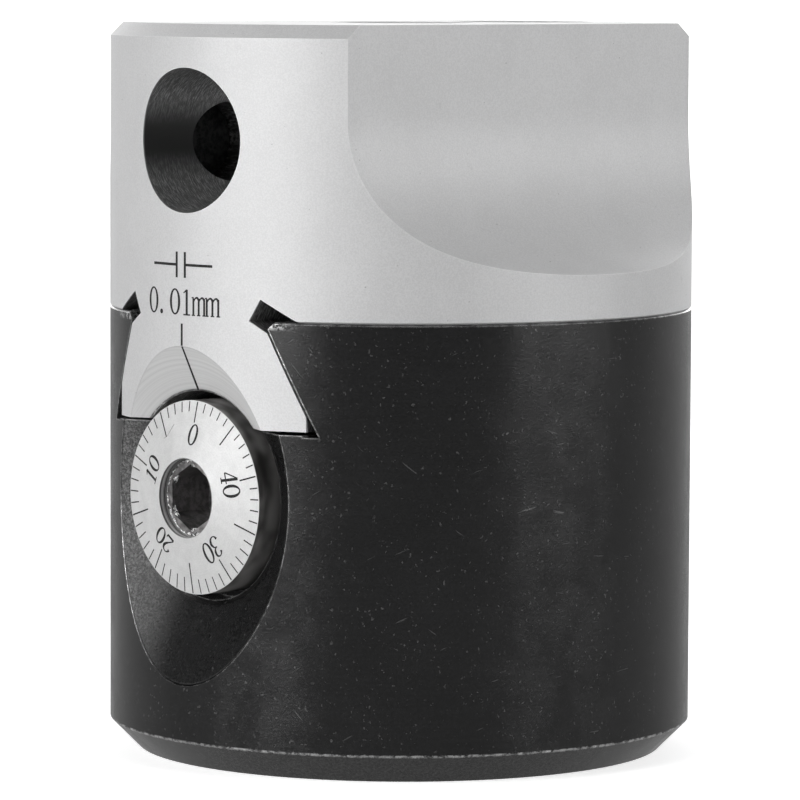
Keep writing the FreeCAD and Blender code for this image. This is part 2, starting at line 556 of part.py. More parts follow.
def check_and_write():
    """Stops at any failed object or shape, then writes one STEP file for each sub-part."""
    doc.recompute()
    failed = [item.Name for item in doc.Objects if "Invalid" in item.State or "Error" in item.State]
    if failed:
        raise RuntimeError("failed objects: " + ", ".join(failed))
    bodies = [item for item in doc.Objects if item.TypeId == "PartDesign::Body"]
    for body in bodies:
        shape = body.Shape
        if shape.isNull() or not shape.isValid() or len(shape.Solids) != 1:
            raise RuntimeError("bad shape: " + body.Label)
    os.makedirs("parts", exist_ok=True)
    for body in bodies:
        body.Shape.exportStep(os.path.join("parts", body.Label + ".step"))
        box = body.Shape.BoundBox
        print("%-20s %9.1f mm3  x %6.2f %6.2f  y %6.2f %6.2f  z %6.2f %6.2f" % (
            body.Label, body.Shape.Volume, box.XMin, box.XMax, box.YMin, box.YMax, box.ZMin, box.ZMax))


make_all()
check_and_write()
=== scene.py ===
"""Boring head: the finishes, the engraved marks, and the floor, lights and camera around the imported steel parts."""

import math

import bmesh
import bpy
from bpy.props import FloatProperty, FloatVectorProperty, IntProperty, PointerProperty
from bpy.types import Operator, Panel, PropertyGroup
from mathutils import Matrix, Vector
from mathutils.bvhtree import BVHTree
from mathutils.noise import noise as noise_at


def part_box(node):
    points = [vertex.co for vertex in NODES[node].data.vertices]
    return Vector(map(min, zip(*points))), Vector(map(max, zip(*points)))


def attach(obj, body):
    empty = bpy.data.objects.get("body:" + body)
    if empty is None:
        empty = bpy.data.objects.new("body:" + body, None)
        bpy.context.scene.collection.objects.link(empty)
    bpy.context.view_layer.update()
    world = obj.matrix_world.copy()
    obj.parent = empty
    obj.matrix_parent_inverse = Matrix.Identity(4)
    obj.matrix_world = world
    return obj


bl_info = {
    "name": "Boring Head Finish",
    "version": (1, 0, 0),
    "blender": (4, 5, 0),
    "location": "View3D > Sidebar > Boring Head",
    "description": "Finishes and marks a boring head, and sets it on a pale floor in soft light",
    "category": "Object",
}

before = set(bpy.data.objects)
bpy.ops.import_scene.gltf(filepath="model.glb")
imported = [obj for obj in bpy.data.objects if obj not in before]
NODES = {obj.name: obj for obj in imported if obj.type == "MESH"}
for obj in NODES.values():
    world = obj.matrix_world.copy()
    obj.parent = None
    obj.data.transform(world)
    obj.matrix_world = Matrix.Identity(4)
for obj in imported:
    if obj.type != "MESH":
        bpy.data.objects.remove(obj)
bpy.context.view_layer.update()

MM = 0.001
_, BODY_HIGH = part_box("body")
DIAL_LOW, DIAL_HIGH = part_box("dial")
DIAL_CENTRE_Z = (DIAL_LOW.z + DIAL_HIGH.z) / 2
DIAL_RADIUS = (DIAL_HIGH.z - DIAL_LOW.z) / 2
DIAL_BORE = min(math.hypot(v.co.x, v.co.z - DIAL_CENTRE_Z) for v in NODES["dial"].data.vertices)
GROOVE_HALF = min(
    abs(v.co.x) for v in NODES["body"].data.vertices if v.co.z > BODY_HIGH.z - 0.01 * MM and v.co.y < -0.015
)

CROSS_BORE_HEIGHT = 52.5  # in millimetres, the middle of the cross bore

# Soft lights round the studio: degrees from the camera to its right, half width in degrees, and brightness.
KEY = (-47, 16, 8.0)
LEFT_FILL = (-66, 26, 5.0)
RIGHT_STRIP = (50, 9, 4.0)
RIGHT_FILL = (70, 30, 3.6)
BACK_LIGHT = (170, 70, 3.3)
WALL_LIGHTS = (KEY, LEFT_FILL, RIGHT_STRIP, RIGHT_FILL, BACK_LIGHT)
FLOOR_SEEN = 0.62  # glow of the floor as the camera sees it
FLOOR_GLOW = 0.35  # glow of the floor as the steel sees it


class HeadFinish(PropertyGroup):
    """Colours of the steels"""

    ground_colour: FloatVectorProperty(
        name="Ground steel", description="Colour of the ground slide",
        subtype="COLOR", size=3, min=0, max=1, default=(0.66, 0.66, 0.665),
    )
    black_colour: FloatVectorProperty(
        name="Blackened steel", description="Colour of the blackened body",
        subtype="COLOR", size=3, min=0, max=1, default=(0.0019, 0.0019, 0.002),
    )
    bare_colour: FloatVectorProperty(
        name="Worn edge", description="Colour of the steel where the blacking has worn off an edge",
        subtype="COLOR", size=3, min=0, max=1, default=(0.6, 0.6, 0.6),
    )
    dial_colour: FloatVectorProperty(
        name="Dial", description="Colour of the satin dial",
        subtype="COLOR", size=3, min=0, max=1, default=(0.7, 0.7, 0.7),
    )
    mark_colour: FloatVectorProperty(
        name="Marks", description="Colour in the engraved marks",
        subtype="COLOR", size=3, min=0, max=1, default=(0.012, 0.012, 0.012),
    )


class HeadMarks(PropertyGroup):
    """Sizes of the engraved marks"""

    dial_divisions: IntProperty(
        name="Divisions", description="Number of divisions round the dial", subtype="UNSIGNED",
        default=50, min=10, max=100,
    )
    dial_turn: FloatProperty(
        name="Dial turn", description="How far the dial's zero stands past the index line, clockwise",
        subtype="ANGLE", default=math.radians(2.0),
    )
    division_width: FloatProperty(
        name="Division width", description="Width of a division line", unit="LENGTH", default=0.105 * MM, precision=6,
    )
    figure_height: FloatProperty(
        name="Figure height", description="Height of the dial's figures", unit="LENGTH", default=1.75 * MM, precision=6,
    )
    figure_radius: FloatProperty(
        name="Figure radius", description="Radius of the circle through the middle of the dial's figures",
        unit="LENGTH", default=5.1 * MM, precision=6,
    )
    scale_offset: FloatVectorProperty(
        name="Scale offset", description="How far the middle of the engraved scale stands off the dial's own middle",
        subtype="XYZ", size=2, unit="LENGTH", default=(0.22 * MM, 0.2 * MM), precision=6,
    )
    letter_height: FloatProperty(
        name="Letter height", description="Height of the figures on the slide", unit="LENGTH", default=2.17 * MM,
        precision=6,
    )
    mark_rise: FloatProperty(
        name="Mark rise", description="How far the filling of a mark stands over the steel", unit="LENGTH",
        default=0.006 * MM, precision=7,
    )


class HeadStage(PropertyGroup):
    """The floor, the light and the camera"""

    floor_colour: FloatVectorProperty(
        name="Floor", description="Colour of the floor", subtype="COLOR", size=3, min=0, max=1,
        default=(0.93, 0.93, 0.93),
    )
    view_turn: FloatProperty(
        name="View turn", description="Angle from the dial round to the camera", subtype="ANGLE",
        default=math.radians(46.4),
    )
    view_pitch: FloatProperty(
        name="View pitch", description="Angle at which the camera looks down", subtype="ANGLE",
        default=math.radians(4.9),
    )
    view_roll: FloatProperty(
        name="View roll", description="Lean of the camera", subtype="ANGLE", default=math.radians(0.25),
    )
    view_distance: FloatProperty(
        name="View distance", description="Distance from the head's axis to the camera", unit="LENGTH",
        default=431.2 * MM, precision=6,
    )
    view_height: FloatProperty(
        name="View height", description="Height of the camera over the floor", unit="LENGTH", default=66.57 * MM,
        precision=6,
    )
    view_shift: FloatProperty(
        name="View offset", description="Offset of the camera to the side", unit="LENGTH", default=-0.04 * MM,
        precision=6,
    )
    lens: FloatProperty(
        name="Lens", description="Focal length on a 36 mm sensor", unit="CAMERA", default=225.7, min=20, max=400,
    )
    light: FloatProperty(
        name="Light", description="Strength of the studio's light", subtype="FACTOR", default=1.0, min=0, soft_max=4,
    )


# ---------------------------------------------------------------- node trees

def add_node(tree, kind, inputs=None, **settings):
    made = tree.nodes.new(kind)
    for name, value in settings.items():
        setattr(made, name, value)
    for socket, value in (inputs or {}).items():
        if isinstance(value, bpy.types.NodeSocket):
            tree.links.new(value, made.inputs[socket])
        else:
            made.inputs[socket].default_value = value
    return made


def calc(tree, operation, *values):
    return add_node(tree, "ShaderNodeMath", dict(enumerate(values)), operation=operation).outputs[0]


def fade(tree, value, start, end, low=0.0, high=1.0):
    """A smooth step from low at start to high at end."""
    return add_node(
        tree, "ShaderNodeMapRange",
        {"Value": value, "From Min": start, "From Max": end, "To Min": low, "To Max": high},
        interpolation_type="SMOOTHSTEP", clamp=True,
    ).outputs["Result"]


def blend_colour(tree, share, first, second):
    mix = add_node(tree, "ShaderNodeMix", data_type="RGBA")
    for socket, value in ((mix.inputs[0], share), (mix.inputs[6], first), (mix.inputs[7], second)):
        if isinstance(value, bpy.types.NodeSocket):
            tree.links.new(value, socket)
        elif isinstance(value, (int, float)):
            socket.default_value = value
        else:
            socket.default_value = (*value, 1.0)
    return mix.outputs[2]


def millimetres(tree):
    """The point on the piece, in millimetres from the head's foot."""
    place = add_node(tree, "ShaderNodeTexCoord").outputs["Object"]
    scaled = add_node(tree, "ShaderNodeVectorMath", {0: place}, operation="SCALE")
    scaled.inputs["Scale"].default_value = 1000.0
    return scaled.outputs[0]


def stretched(tree, place, factors):
    return add_node(tree, "ShaderNodeVectorMath", {0: place, 1: factors}, operation="MULTIPLY").outputs[0]


def noise(tree, place, scale, detail=3.0, roughness=0.6):
    return add_node(
        tree, "ShaderNodeTexNoise",
        {"Vector": place, "Scale": scale, "Detail": detail, "Roughness": roughness},
    ).outputs["Fac"]


def distance_from(tree, place, across, along):
    """Distance from an axis, from two of the point's parts less the axis's place on them."""
    parts = add_node(tree, "ShaderNodeSeparateXYZ", {0: place})
    (first, first_at), (second, second_at) = across, along
    a = calc(tree, "SUBTRACT", parts.outputs[first], first_at)
    b = calc(tree, "SUBTRACT", parts.outputs[second], second_at)
    return calc(tree, "SQRT", calc(tree, "ADD", calc(tree, "MULTIPLY", a, a), calc(tree, "MULTIPLY", b, b)))


def edge_wear(tree, reach, low=0.006, high=0.09):
    """1 along the edges of the piece, within reach of them, and 0 on its faces."""
    rounded = add_node(tree, "ShaderNodeBevel", {"Radius": reach}, samples=6)
    plain = add_node(tree, "ShaderNodeNewGeometry")
    same = add_node(
        tree, "ShaderNodeVectorMath", {0: rounded.outputs[0], 1: plain.outputs["Normal"]}, operation="DOT_PRODUCT"
    ).outputs["Value"]
    return fade(tree, calc(tree, "SUBTRACT", 1.0, same), low, high)


def new_finish(name, metallic, roughness):
    made = bpy.data.materials.new(name)
    made.use_nodes = True
    tree = made.node_tree
    shader = tree.nodes["Principled BSDF"]
    shader.inputs["Metallic"].default_value = metallic
    shader.inputs["Roughness"].default_value = roughness
    return made, tree, shader


def relief(tree, shader, height, depth, strength=1.0, normal=None):
    inputs = {"Height": height, "Distance": depth, "Strength": strength}
    if normal is not None:
        inputs["Normal"] = normal
    bump = add_node(tree, "ShaderNodeBump", inputs)
    tree.links.new(bump.outputs[0], shader.inputs["Normal"])
    return bump


def wear(node, finish):
    """Gives a steel part its finish."""
    part = NODES[node]
    part.data.materials.clear()
    part.data.materials.append(finish)


def any_of(tree, *masks):
    found = masks[0]
    for mask in masks[1:]:
        found = calc(tree, "MAXIMUM", found, mask)
    return found


def all_of(tree, *masks):
    found = masks[0]
    for mask in masks[1:]:
        found = calc(tree, "MULTIPLY", found, mask)
    return found


def scratches(tree, place, turn, scale, low, high):
    """Short thin lines that run one way."""
    turned = add_node(tree, "ShaderNodeVectorRotate", {"Vector": place}, rotation_type="Y_AXIS")
    turned.inputs["Angle"].default_value = turn
    lines = noise(tree, stretched(tree, turned.outputs[0], (0.35, 0.35, 6.0)), scale, 2.0, 0.45)
    return fade(tree, lines, low, high)


def ground_steel(finish):
    made, tree, shader = new_finish("ground_steel", 0.4, 0.5)
    place = millimetres(tree)
    parts = add_node(tree, "ShaderNodeSeparateXYZ", {0: place}).outputs
    speckle = noise(tree, place, 7.0, 3.0, 0.75)
    cloud = noise(tree, place, 0.2, 4.0, 0.6)
    smudge = noise(tree, place, 0.55, 4.0, 0.7)
    base = tuple(finish.ground_colour)
    dark = tuple(c * 0.93 for c in base)
    light = tuple(min(1.0, c * 1.05) for c in base)
    tone = calc(tree, "ADD", calc(tree, "MULTIPLY", speckle, 0.8), calc(tree, "MULTIPLY", cloud, 0.2))
    colour = blend_colour(tree, fade(tree, tone, 0.4, 0.6), dark, light)
    colour = blend_colour(
        tree, calc(tree, "MULTIPLY", fade(tree, smudge, 0.66, 0.74), 0.22), colour, tuple(c * 0.6 for c in base)
    )
    pits = fade(tree, noise(tree, place, 3.1, 1.0, 0.4), 0.79, 0.83)
    colour = blend_colour(tree, calc(tree, "MULTIPLY", pits, 0.6), colour, (0.12, 0.12, 0.12))
    worn = edge_wear(tree, 0.14 * MM)
    colour = blend_colour(tree, calc(tree, "MULTIPLY", worn, 0.6), colour, (0.88, 0.88, 0.88))

    from_axis = distance_from(tree, place, ("X", 0.0), ("Y", 0.0))
    from_dial = distance_from(tree, place, ("X", 0.0), ("Z", DIAL_CENTRE_Z / MM))
    bevel = all_of(
        tree, fade(tree, parts["Y"], -22.6, -22.8), fade(tree, from_dial, 8.95, 9.05),
        fade(tree, from_dial, 12.95, 12.85), fade(tree, from_axis, 24.97, 24.9),
    )
    outside = any_of(
        tree, fade(tree, from_axis, 24.8, 24.92), fade(tree, calc(tree, "ABSOLUTE", parts["X"]), 14.5, 14.7),
        fade(tree, parts["Z"], 60.85, 60.95), bevel,
    )
    rings = noise(
        tree, add_node(tree, "ShaderNodeCombineXYZ", {0: from_dial}).outputs[0], 5.0, 2.0, 0.5
    )
    turned = blend_colour(tree, fade(tree, rings, 0.35, 0.75), (0.76, 0.76, 0.76), (0.66, 0.66, 0.66))
    colour = blend_colour(tree, bevel, colour, turned)
    feed = noise(tree, stretched(tree, place, (0.9, 6.5, 0.9)), 1.6, 4.0, 0.7)
    patchy = noise(tree, place, 0.45, 3.0, 0.7)
    unground = blend_colour(
        tree, all_of(tree, fade(tree, feed, 0.42, 0.68), fade(tree, patchy, 0.35, 0.65, 0.35, 1.0)),
        (0.2, 0.2, 0.2), (1.0, 1.0, 1.0),
    )
    from_bore = distance_from(tree, place, ("X", 0.3), ("Z", CROSS_BORE_HEIGHT))
    cross_bore = all_of(tree, fade(tree, from_bore, 6.4, 6.2), fade(tree, parts["Y"], -8.0, -9.0))
    # Painted reflection: a dark band across the middle of the cross bore's wall stands in for a dark reflection there,
    # with the reamed streaks towards its ends.
    off_middle = calc(tree, "ABSOLUTE", calc(tree, "SUBTRACT", parts["Z"], CROSS_BORE_HEIGHT))
    reamed = blend_colour(tree, fade(tree, feed, 0.46, 0.6), (0.4, 0.4, 0.4), (1.0, 1.0, 1.0))
    painted_dark_reflection = blend_colour(tree, fade(tree, off_middle, 0.8, 4.0), (0.15, 0.15, 0.15), reamed)
    unground = blend_colour(tree, cross_bore, unground, painted_dark_reflection)
    tree.links.new(blend_colour(tree, outside, unground, colour), shader.inputs["Base Color"])
    tree.links.new(fade(tree, outside, 0.0, 1.0, 0.75, 0.33), shader.inputs["Metallic"])
    rough = fade(tree, speckle, 0.3, 0.7, 0.5, 0.6)
    tree.links.new(
        calc(tree, "SUBTRACT", rough, calc(tree, "MULTIPLY", calc(tree, "SUBTRACT", 1.0, outside), 0.2)),
        shader.inputs["Roughness"],
    )
    grain = noise(tree, place, 12.0, 3.0, 0.7)
    relief(tree, shader, grain, 0.014 * MM, 0.6)
    return made


def black_steel(finish):
    made, tree, shader = new_finish("blackened_steel", 0.0, 0.34)
    place = millimetres(tree)
    parts = add_node(tree, "ShaderNodeSeparateXYZ", {0: place}).outputs
    lathe = noise(tree, stretched(tree, place, (0.12, 0.12, 5.0)), 1.0, 4.0, 0.65)
    cloud = noise(tree, place, 0.17, 4.0, 0.62)
    fine = noise(tree, place, 4.5, 3.0, 0.7)
    base = tuple(finish.black_colour)
    light = tuple(c * 4.6 for c in base)
    tone = calc(tree, "ADD", calc(tree, "MULTIPLY", lathe, 0.2), calc(tree, "MULTIPLY", cloud, 0.25))
    tone = calc(tree, "ADD", tone, calc(tree, "MULTIPLY", fine, 0.55))
    colour = blend_colour(tree, fade(tree, tone, 0.4, 0.64), base, light)

    patchy = noise(tree, place, 0.33, 3.0, 0.6)
    dust = all_of(
        tree, fade(tree, noise(tree, place, 3.3, 2.0, 0.5), 0.66, 0.74), fade(tree, patchy, 0.36, 0.6, 0.2, 1.0)
    )
    lines = any_of(
        tree, scratches(tree, place, 0.6, 0.9, 0.74, 0.79), scratches(tree, place, -0.9, 0.8, 0.75, 0.8)
    )
    marks = any_of(tree, dust, all_of(tree, lines, fade(tree, patchy, 0.4, 0.6)))
    colour = blend_colour(tree, calc(tree, "MULTIPLY", marks, 0.5), colour, (0.28, 0.28, 0.28))

    foot = fade(tree, parts["Z"], 2.45, 2.3)
    colour = blend_colour(
        tree, foot, colour,
        blend_colour(tree, fade(tree, fine, 0.35, 0.7), (0.022, 0.022, 0.022), (0.06, 0.06, 0.06)),
    )
    foot_edge = all_of(
        tree, fade(tree, calc(tree, "ABSOLUTE", calc(tree, "SUBTRACT", parts["Z"], 2.42)), 0.16, 0.05),
        fade(tree, noise(tree, place, 1.7, 3.0, 0.7), 0.4, 0.66),
    )
    grain = noise(tree, place, 5.0, 4.0, 0.78)
    from_dial = distance_from(tree, place, ("X", 0.0), ("Z", DIAL_CENTRE_Z / MM))
    from_axis = distance_from(tree, place, ("X", 0.0), ("Y", 0.0))
    recess = all_of(
        tree, fade(tree, from_dial, 17.0, 16.2), fade(tree, from_axis, 24.96, 24.86),
        fade(tree, parts["Y"], -19.0, -19.6), fade(tree, from_dial, 8.9, 9.3),
    )
    colour = blend_colour(
        tree, all_of(tree, recess, fade(tree, grain, 0.48, 0.66)), colour, (0.025, 0.025, 0.025)
    )
    # Painted light with grain: the left side of the recess gets a lighter grey grain, as where light falls on it, while
    # its right stays dark.
    painted_lit_grain = blend_colour(tree, fade(tree, grain, 0.44, 0.6), (0.04, 0.04, 0.04), (0.19, 0.19, 0.19))
    colour = blend_colour(tree, all_of(tree, recess, fade(tree, parts["X"], -3.0, -10.0)), colour, painted_lit_grain)
    chipped = fade(tree, noise(tree, place, 1.3, 3.0, 0.7), 0.38, 0.6, 0.12, 1.0)
    width = calc(tree, "ABSOLUTE", parts["X"])
    burrs = all_of(
        tree, fade(tree, parts["Z"], BODY_HIGH.z / MM - 0.75, BODY_HIGH.z / MM - 0.35),
        fade(tree, width, GROOVE_HALF / MM + 3.2, GROOVE_HALF / MM + 0.6), fade(tree, parts["Y"], -19.0, -21.0),
        fade(tree, noise(tree, place, 2.4, 3.0, 0.75), 0.46, 0.56),
    )
    worn = any_of(tree, all_of(tree, edge_wear(tree, 0.22 * MM), chipped), foot_edge, burrs)
    colour = blend_colour(tree, worn, colour, tuple(finish.bare_colour))
    tree.links.new(colour, shader.inputs["Base Color"])
    rough = calc(tree, "ADD", fade(tree, tone, 0.38, 0.66, 0.0, 0.05), fade(tree, patchy, 0.36, 0.62, 0.11, 0.19))
    # Painted shade: the specular level drops towards the right of the recess, where the dial's shadow falls.
    painted_recess_shade = all_of(tree, recess, fade(tree, parts["X"], -7.0, -1.0))
    tree.links.new(fade(tree, painted_recess_shade, 0.0, 1.0, 0.55, 0.12), shader.inputs["Specular IOR Level"])
    tree.links.new(calc(tree, "ADD", rough, calc(tree, "MULTIPLY", recess, 0.12)), shader.inputs["Roughness"])
    tree.links.new(calc(tree, "MULTIPLY", any_of(tree, worn, marks), 0.75), shader.inputs["Metallic"])
    rise = calc(tree, "MULTIPLY", grain, fade(tree, recess, 0.0, 1.0, 0.14, 1.0))
    relief(tree, shader, rise, 0.09 * MM, 0.9)
    return made


def dial_steel(finish):
    made, tree, shader = new_finish("dial_steel", 0.3, 0.5)
    place = millimetres(tree)
    parts = add_node(tree, "ShaderNodeSeparateXYZ", {0: place}).outputs
    ring = distance_from(tree, place, ("X", 0.0), ("Z", DIAL_CENTRE_Z / MM))
    rings = noise(tree, add_node(tree, "ShaderNodeCombineXYZ", {0: ring}).outputs[0], 9.0, 3.0, 0.6)
    cloud = noise(tree, place, 0.8, 4.0, 0.65)
    fine = noise(tree, place, 9.0, 3.0, 0.7)
    base = tuple(finish.dial_colour)
    tone = calc(tree, "ADD", calc(tree, "MULTIPLY", rings, 0.25), calc(tree, "MULTIPLY", cloud, 0.35))
    tone = calc(tree, "ADD", tone, calc(tree, "MULTIPLY", fine, 0.4))
    colour = blend_colour(
        tree, fade(tree, tone, 0.38, 0.62), tuple(c * 0.9 for c in base), tuple(min(1, c * 1.06) for c in base)
    )
    colour = blend_colour(tree, calc(tree, "MULTIPLY", edge_wear(tree, 0.09 * MM), 0.6), colour, (0.9, 0.9, 0.9))
    # Painted shade with blotches: the dial's outer side, behind its front, is darkened where it sits in the shade
    # between dial and body.
    rim = all_of(tree, fade(tree, parts["Y"], -23.66, -23.6), fade(tree, ring, 7.9, 8.0))
    painted_rim_shade = blend_colour(
        tree, fade(tree, noise(tree, stretched(tree, place, (0.35, 0.5, 0.35)), 0.6, 2.0, 0.6), 0.34, 0.66),
        (0.06, 0.058, 0.056), (0.5, 0.49, 0.48),
    )
    colour = blend_colour(tree, rim, colour, painted_rim_shade)
    # Painted highlights and shade: bright and dark rings along the depth of the dial's bore wall.
    turned = noise(tree, add_node(tree, "ShaderNodeCombineXYZ", {0: parts["Y"]}).outputs[0], 3.6, 2.0, 0.5)
    bore = fade(tree, ring, DIAL_BORE / MM + 0.06, DIAL_BORE / MM + 0.02)
    colour = blend_colour(
        tree, bore, colour,
        blend_colour(tree, fade(tree, turned, 0.4, 0.6), (0.16, 0.16, 0.16), (0.95, 0.95, 0.95)),
    )
    tree.links.new(colour, shader.inputs["Base Color"])
    tree.links.new(fade(tree, rings, 0.3, 0.7, 0.44, 0.56), shader.inputs["Roughness"])
    relief(tree, shader, calc(tree, "ADD", rings, fine), 0.006 * MM, 0.5)
    return made


def screw_steel():
    made, tree, shader = new_finish("screw_steel", 0.6, 0.3)
    place = millimetres(tree)
    grain = noise(tree, place, 1.6, 4.0, 0.7)
    colour = blend_colour(tree, fade(tree, grain, 0.35, 0.65), (0.14, 0.135, 0.135), (0.3, 0.29, 0.29))
    tree.links.new(colour, shader.inputs["Base Color"])
    tree.links.new(fade(tree, grain, 0.3, 0.7, 0.3, 0.5), shader.inputs["Roughness"])
    relief(tree, shader, grain, 0.05 * MM, 0.5)
    return made


def torn_steel():
    made, tree, shader = new_finish("torn_steel", 1.0, 0.25)
    place = millimetres(tree)
    grain = noise(tree, place, 3.4, 4.0, 0.75)
    colour = blend_colour(tree, fade(tree, grain, 0.42, 0.6), (0.12, 0.12, 0.12), (0.95, 0.95, 0.95))
    tree.links.new(colour, shader.inputs["Base Color"])
    tree.links.new(fade(tree, grain, 0.3, 0.7, 0.18, 0.42), shader.inputs["Roughness"])
    relief(tree, shader, grain, 0.12 * MM, 0.9)
    return made


def plain_metal(name, dark, light, roughness, scale=2.0):
    """A turned metal with a fine grain, from its darker and lighter colours."""
    made, tree, shader = new_finish(name, 1.0, roughness)
    place = millimetres(tree)
    grain = noise(tree, place, scale, 4.0, 0.65)
    tree.links.new(blend_colour(tree, fade(tree, grain, 0.35, 0.65), dark, light), shader.inputs["Base Color"])
    tree.links.new(
        fade(tree, grain, 0.3, 0.7, roughness - 0.06, roughness + 0.08), shader.inputs["Roughness"]
    )
    relief(tree, shader, grain, 0.015 * MM, 0.5)
    return made


def mark_filling(finish):
    made, tree, shader = new_finish("mark_filling", 0.0, 0.7)
    shader.inputs["Specular IOR Level"].default_value = 0.15
    grain = noise(tree, millimetres(tree), 9.0, 2.0, 0.6)
    base = tuple(finish.mark_colour)
    tree.links.new(
        blend_colour(tree, fade(tree, grain, 0.3, 0.75), base, tuple(c * 4 for c in base)),
        shader.inputs["Base Color"],
    )
    return made


# ---------------------------------------------------------------- marks

def smooth_path(points, steps=5, closed=False):
    """A smooth line of (x, y, width) through the points."""
    count = len(points)
    path = []
    spans = count if closed else count - 1
    for i in range(spans):
        if closed:
            p = [points[(i + k) % count] for k in (-1, 0, 1, 2)]
        else:
            p = [points[min(max(i + k, 0), count - 1)] for k in (-1, 0, 1, 2)]
        for step in range(steps):
            t = step / steps
            path.append(tuple(
                0.5 * (2 * b + (c - a) * t + (2 * a - 5 * b + 4 * c - d) * t * t + (3 * b - 3 * c + d - a) * t ** 3)
                for a, b, c, d in zip(*p)
            ))
    if not closed:
        path.append(tuple(points[-1]))
    return path


def straight(start, end, width, steps=6, end_width=None):
    last = width if end_width is None else end_width
    return [
        (start[0] + (end[0] - start[0]) * k / steps, start[1] + (end[1] - start[1]) * k / steps,
         width + (last - width) * k / steps)
        for k in range(steps + 1)
    ]


def oval(half_width, half_height, side, cap, middle=(0.0, 0.5), steps=28):
    """A ring with thick sides and thin top and foot."""
    path = []
    for k in range(steps):
        turn = math.tau * k / steps
        weight = abs(math.cos(turn)) ** 1.5
        width = cap + (side - cap) * weight
        path.append((
            middle[0] + (half_width - width / 2) * math.cos(turn),
            middle[1] + (half_height - width / 2) * math.sin(turn), width,
        ))
    return path


def glyph(character):
    """The strokes of a character one unit high: (path, closed) pairs, on x = 0, with its foot at y = 0."""
    if character == "0":
        return [(oval(0.3, 0.5, 0.105, 0.05), True)]
    if character == "1":
        return [
            (straight((0.02, 0.0), (0.02, 0.98), 0.095, 8), False),
            (straight((-0.17, 0.02), (0.21, 0.02), 0.045, 4), False),
            (straight((-0.16, 0.85), (0.03, 0.96), 0.035, 3, 0.07), False),
        ]
    if character == "2":
        return [
            (smooth_path([
                (-0.21, 0.72, 0.11), (-0.18, 0.86, 0.06), (-0.02, 0.965, 0.045), (0.16, 0.88, 0.085),
                (0.2, 0.72, 0.11), (0.13, 0.54, 0.085), (-0.04, 0.32, 0.05), (-0.23, 0.08, 0.045),
            ]), False),
            (straight((-0.24, 0.045), (0.24, 0.045), 0.09, 5), False),
            (straight((0.235, 0.03), (0.27, 0.2), 0.045, 2), False),
        ]
    if character == "3":
        return [
            (smooth_path([
                (-0.2, 0.78, 0.1), (-0.12, 0.92, 0.05), (0.02, 0.965, 0.045), (0.17, 0.87, 0.085),
                (0.17, 0.68, 0.095), (0.08, 0.565, 0.05), (-0.05, 0.53, 0.04),
            ]), False),
            (smooth_path([
                (-0.05, 0.53, 0.04), (0.12, 0.48, 0.055), (0.22, 0.29, 0.105), (0.15, 0.1, 0.08),
                (-0.01, 0.025, 0.045), (-0.16, 0.08, 0.05), (-0.23, 0.22, 0.11),
            ]), False),
        ]
    if character == "4":
        return [
            (straight((0.09, 0.98), (0.09, 0.0), 0.1, 8), False),
            (straight((0.06, 0.97), (-0.27, 0.3), 0.045, 6), False),
            (straight((-0.28, 0.285), (0.28, 0.285), 0.05, 5), False),
            (straight((-0.06, 0.02), (0.24, 0.02), 0.045, 3), False),
        ]
    if character == "m":
        strokes = []
        for stem in (-0.27, 0.0, 0.27):
            strokes.append((straight((stem, 0.0), (stem, 0.64), 0.075, 6), False))
            strokes.append((straight((stem - 0.085, 0.018), (stem + 0.085, 0.018), 0.036, 2), False))
        for stem in (-0.27, 0.0):
            strokes.append((smooth_path([
                (stem + 0.01, 0.5, 0.03), (stem + 0.1, 0.635, 0.05), (stem + 0.2, 0.655, 0.065),
                (stem + 0.265, 0.57, 0.075),
            ], 4), False))
        strokes.append((straight((-0.36, 0.65), (-0.26, 0.67), 0.036, 2), False))
        return strokes
    if character == ".":
        return [(oval(0.085, 0.085, 0.085, 0.085, (0.0, 0.085), 12), True)]
    raise ValueError(f"no strokes for {character!r}")


def slanted(strokes, slant=0.0, weight=1.0):
    return [([(x + y * slant, y, w * weight) for x, y, w in path], closed) for path, closed in strokes]


